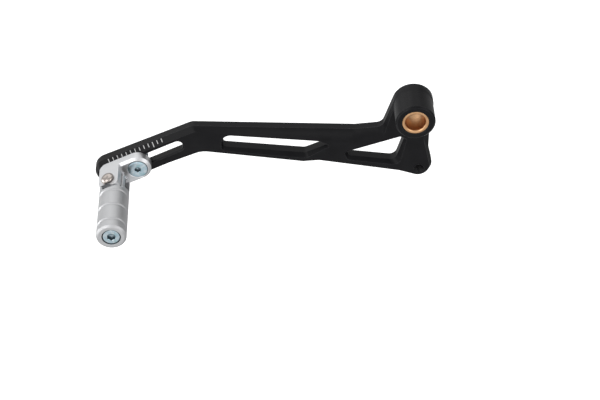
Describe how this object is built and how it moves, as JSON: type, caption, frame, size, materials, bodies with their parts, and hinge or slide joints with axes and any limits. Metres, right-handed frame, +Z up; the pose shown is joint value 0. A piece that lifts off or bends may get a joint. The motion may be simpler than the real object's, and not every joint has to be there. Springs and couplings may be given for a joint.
{
  "type": "gear shift lever",
  "caption": "Motorcycle gear shift lever: milled arm with bushed pivot hub and linkage hole; a bracket clamped in its tip slot carries a folding, sprung, grooved toe peg.",
  "frame": {"origin": "on the pivot axis of the hub, at the middle of the arm plate's thickness", "axes": "Y along the pivot axis with the toe peg pointing towards -Y, +X from the tip towards the pivot, +Z up"},
  "size_m": [0.2058, 0.0692, 0.067],
  "materials": {
    "arm_black_anodised": "satin black anodised, milled",
    "bush_bronze": "sintered bronze, machined",
    "bracket_silver_anodised": "bead blasted, silver anodised",
    "peg_silver_anodised": "turned and bead blasted, silver anodised",
    "screw_zinc": "blue zinc plated steel",
    "pin_steel": "turned stainless steel",
    "spring_steel": "drawn spring wire"
  },
  "bodies": {
    "lever": {"lever_arm": "arm_black_anodised", "pivot_bush_front": "bush_bronze", "pivot_bush_rear": "bush_bronze"},
    "bracket": {"toe_bracket": "bracket_silver_anodised", "clamp_screw": "screw_zinc", "slot_nut": "screw_zinc", "fold_pin": "pin_steel", "pin_clip": "pin_steel", "return_spring": "spring_steel"},
    "peg": {"toe_peg": "peg_silver_anodised", "peg_end_screw": "screw_zinc"}
  },
  "joints": [
    {"name": "bracket_slide", "type": "slide", "parent": "lever", "child": "bracket", "axis": [0.9026, 0, 0.4305], "range_m": [0, 0.024]},
    {"name": "peg_fold", "type": "hinge", "parent": "bracket", "child": "peg", "pos_m": [-0.18027, -0.0205, -0.04411], "axis": [-0.4305, 0, 0.9026], "range_deg": [0, 88], "stiffness_Nm_per_rad": 0.15, "springref_deg": -34.38, "deforming": ["return_spring"]}
  ]
}
